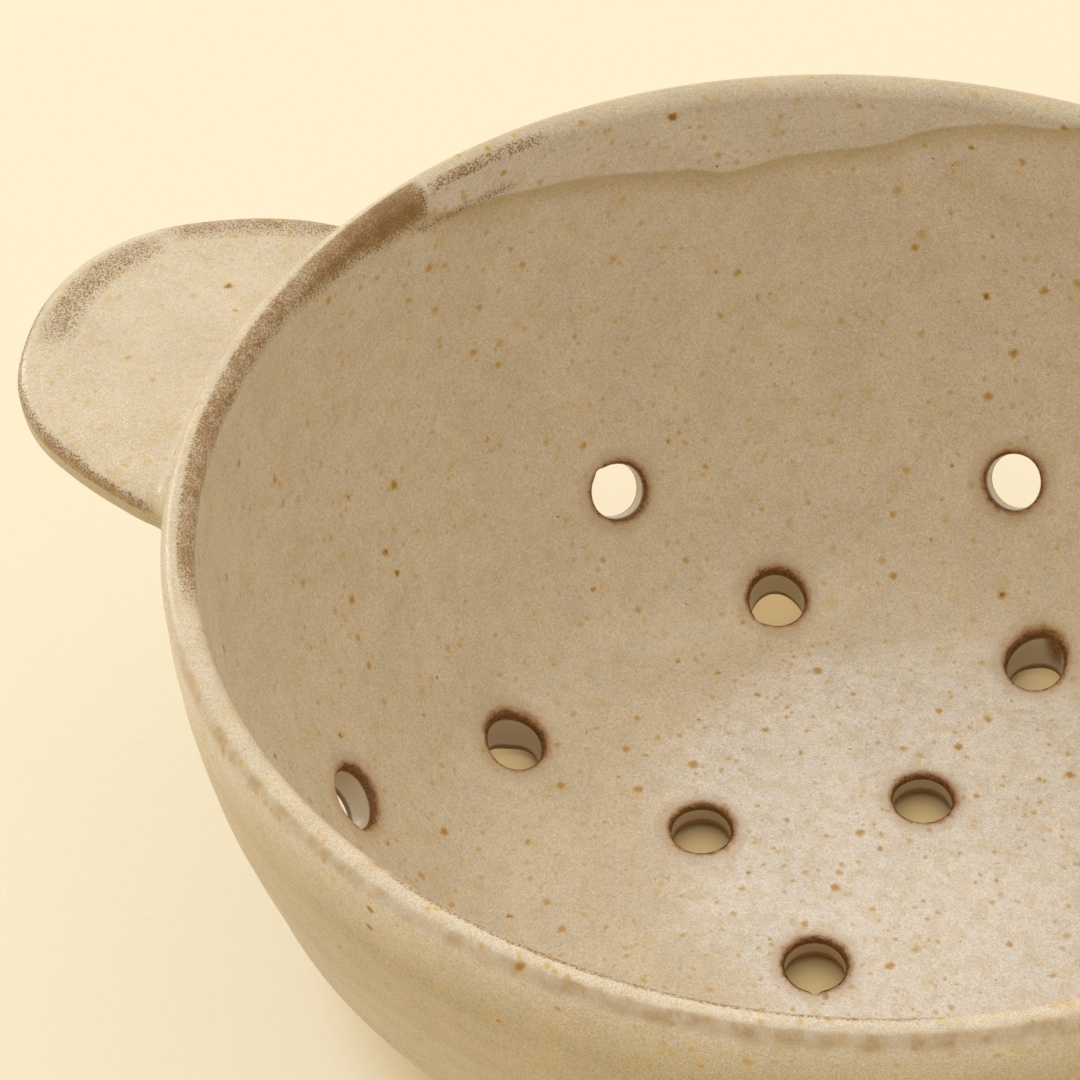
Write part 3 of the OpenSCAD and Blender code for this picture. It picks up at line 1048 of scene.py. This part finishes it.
def glaze(name):
    """Satin oatmeal glaze: clouds and grain, iron spots, and brown clay where it is thin."""
    g = Graph(name)
    grain = g.swing(0.2, 1, 0.6)
    dots = g.swing(0.27, spread=0.12)
    sand = g.swing(0.55)
    blotch = g.swing(2.6, 2)
    drift = g.swing(8, 2)
    colour, second_coat = coats(g, grain, sand, blotch, drift)
    colour = iron_spots(g, colour)
    colour, veil = worn(g, colour, grain, dots, sand, blotch, drift)
    colour, bare, glow = hole_rings(g, colour, grain, sand)
    under = g.look("under")
    g.feed(g.shader.inputs["Base Color"], g.mix(under, colour, CLAY))
    g.feed(g.shader.inputs["Roughness"],
           g.total((0.05, grain), (-0.18, bare), (0.04, veil), (0.45, under), (1, 0.32)))
    g.shader.inputs["Specular IOR Level"].default_value = 0.3
    crust = g.times(glow, g.swing(0.5, 2))
    g.bump(g.total((0.003, grain), (0.006, sand), (0.012, blotch), (-0.05, bare), (0.08, crust),
                   (-0.02, veil), (0.05, second_coat)))
    return g.material


def bare_clay(name):
    """Unglazed clay with a little grog."""
    g = Graph(name)
    grain = g.noise(0.5, 3)
    grog, grog_tone = g.spots(g.place, 1.6, 0.3, 0.6)
    colour = g.mix(g.step(g.noise(5, 2), 0.35, 0.65), CLAY, CLAY_DARK)
    colour = g.mix(g.times(grog, g.step(grog_tone, 0, 1, 0.2, 0.7)), colour, OAT)
    g.feed(g.shader.inputs["Base Color"], g.shade(colour, g.step(grain, 0.2, 0.8, 0.85, 1.15)))
    g.shader.inputs["Roughness"].default_value = 0.85
    g.bump(g.total((0.05, grain), (0.06, grog)))
    return g.material


def paper(name):
    """Plain cream floor with a faint grain. Under the bowl it is darker and warmer, painted shade and
    bounce light from the clay above, and the camera sees it a little paler round the bowl, painted light
    that lifts its shadow."""
    g = Graph(name)
    grain = g.noise(0.8, 2)
    reach = g.nodes.new("ShaderNodeVectorMath")
    reach.operation = "LENGTH"
    g.feed(reach.inputs[0], g.place)
    away = reach.outputs["Value"]
    # Painted shade and warm bounce light under the bowl
    cream = g.mix(g.step(away, *FLOOR_BOUNCE_TINT_R), FLOOR_BOUNCE_TINT, FLOOR_CREAM)
    cream = g.shade(cream, g.step(grain, 0.3, 0.7, 0.985, 1.0))
    g.feed(g.shader.inputs["Base Color"], cream)
    g.shader.inputs["Roughness"].default_value = 0.9
    g.bump(g.total((0.05, grain), (0.12, g.noise(3, 1))))
    ray = g.nodes.new("ShaderNodeLightPath")
    seen = g.math("ADD", ray.outputs["Is Camera Ray"], ray.outputs["Is Glossy Ray"])
    seen = g.math("MINIMUM", g.math("ADD", seen, ray.outputs["Is Transmission Ray"]), 1.0)
    glow = g.nodes.new("ShaderNodeEmission")
    g.feed(glow.inputs["Color"], cream)
    glow.inputs["Strength"].default_value = FLOOR_GLOW
    mixed = g.nodes.new("ShaderNodeMixShader")
    # Painted light: the camera sees the floor paler round the bowl, which lifts the bowl's shadow
    g.feed(mixed.inputs[0], g.times(g.times(seen, FLOOR_PAINTED_LIGHT), g.step(away, *FLOOR_PAINTED_LIGHT_R)))
    g.feed(mixed.inputs[1], g.shader.outputs[0])
    g.feed(mixed.inputs[2], glow.outputs[0])
    g.feed(g.nodes["Material Output"].inputs["Surface"], mixed.outputs[0])
    return g.material


glazed = glaze("glaze")
clay = bare_clay("clay")
for piece in (bowl, left_handle, right_handle):
    piece.data.materials.append(glazed)
foot.data.materials.append(clay)

for piece, nodes, slot in (
    (bowl, ["bowl_body"], "bowl_glaze"),
    (left_handle, ["left_handle", "left_handle_coils"], "handle_glaze"),
    (right_handle, ["right_handle", "right_handle_coils"], "handle_glaze"),
    (foot, ["foot_ring"], "bare_clay"),
):
    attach(piece, "root")
    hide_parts(*nodes)

# Studio

FLOOR_SIZE = 6
bpy.ops.mesh.primitive_plane_add(size=FLOOR_SIZE)
floor = bpy.context.object
floor.name = "floor"
floor.data.materials.append(paper("floor"))

# The sky is brighter behind the bowl than in front of it. bright_side is an azimuth.
SKY = {"colour": (1, 0.975, 0.94, 1), "front": 0.68, "back": 1.14, "bright_side": math.radians(112)}

world = bpy.data.worlds.new("studio")
bpy.context.scene.world = world
world.use_nodes = True
tree = world.node_tree
sky = tree.nodes["Background"]
sky.inputs["Color"].default_value = SKY["colour"]
toward = tree.nodes.new("ShaderNodeVectorMath")
toward.operation = "DOT_PRODUCT"
toward.inputs[1].default_value = (math.cos(SKY["bright_side"]), math.sin(SKY["bright_side"]), 0)
strength = tree.nodes.new("ShaderNodeMapRange")
strength.inputs["From Min"].default_value = -1
strength.inputs["To Min"].default_value = SKY["front"]
strength.inputs["To Max"].default_value = SKY["back"]
direction = tree.nodes.new("ShaderNodeTexCoord")
for source, socket in (
    (direction.outputs["Generated"], toward.inputs[0]),
    (toward.outputs["Value"], strength.inputs["Value"]),
    (strength.outputs["Result"], sky.inputs["Strength"]),
):
    tree.links.new(source, socket)


LAMP_COLOUR = (1.0, 0.98, 0.95)


def softbox(name, place, target, size, power):
    """An area lamp that points at a target. Its power is in watts."""
    lamp = bpy.data.lights.new(name, "AREA")
    lamp.shape = "RECTANGLE"
    lamp.size, lamp.size_y = size
    lamp.energy = power
    lamp.color = LAMP_COLOUR
    obj = bpy.data.objects.new(name, lamp)
    obj.location = place
    obj.rotation_euler = (Vector(target) - Vector(place)).to_track_quat("-Z", "Y").to_euler()
    bpy.context.scene.collection.objects.link(obj)


softbox("overhead", (-0.2, 0.25, 1.1), (0, 0, 0.05), (0.9, 0.9), 2.2)
softbox("back", (-0.32, 1.05, 1.15), (0, 0, 0.02), (0.4, 0.3), 1.2)
softbox("left", (-1.12, 0.36, 0.4), (0, 0, 0.05), (0.22, 0.16), 2.2)

# Camera, placed as the photograph was taken: how far it stands back from the bowl's axis and above the lip,
# its angles in degrees, and its focal length in pixels of the square image
CAMERA = {"back": 247.23 * MM, "up": 235.01 * MM, "yaw": -8.221, "pitch": 44.773, "roll": -3.698,
          "focal": 2900}
IMAGE = 1080
SENSOR = 36.0
CLIP_START = 0.01


def place_camera():
    yaw, pitch, roll = (math.radians(CAMERA[k]) for k in ("yaw", "pitch", "roll"))
    look = Vector((math.sin(yaw) * math.cos(pitch), math.cos(yaw) * math.cos(pitch), -math.sin(pitch)))
    right = look.cross(Vector((0, 0, 1))).normalized()
    up = right.cross(look)
    right_rolled = right * math.cos(roll) + up * math.sin(roll)
    up_rolled = up * math.cos(roll) - right * math.sin(roll)
    turn = Matrix((right_rolled, up_rolled, -look)).transposed().to_4x4()
    spin = Matrix.Rotation(LIP_TURN, 4, "Z")
    lens = bpy.data.cameras.new("camera")
    lens.sensor_width = SENSOR
    lens.lens = CAMERA["focal"] / IMAGE * SENSOR
    lens.clip_start = CLIP_START
    obj = bpy.data.objects.new("camera", lens)
    place = Vector((0, -CAMERA["back"] * FIRED, CAMERA["up"] * FIRED))
    place = spin @ place + Vector((0, 0, CREST_Z - LIP_RISE_MAX * FIRED))
    obj.matrix_world = Matrix.Translation(place) @ spin @ turn
    bpy.context.scene.collection.objects.link(obj)
    bpy.context.scene.camera = obj


place_camera()

bpy.context.scene.view_settings.view_transform = "Standard"
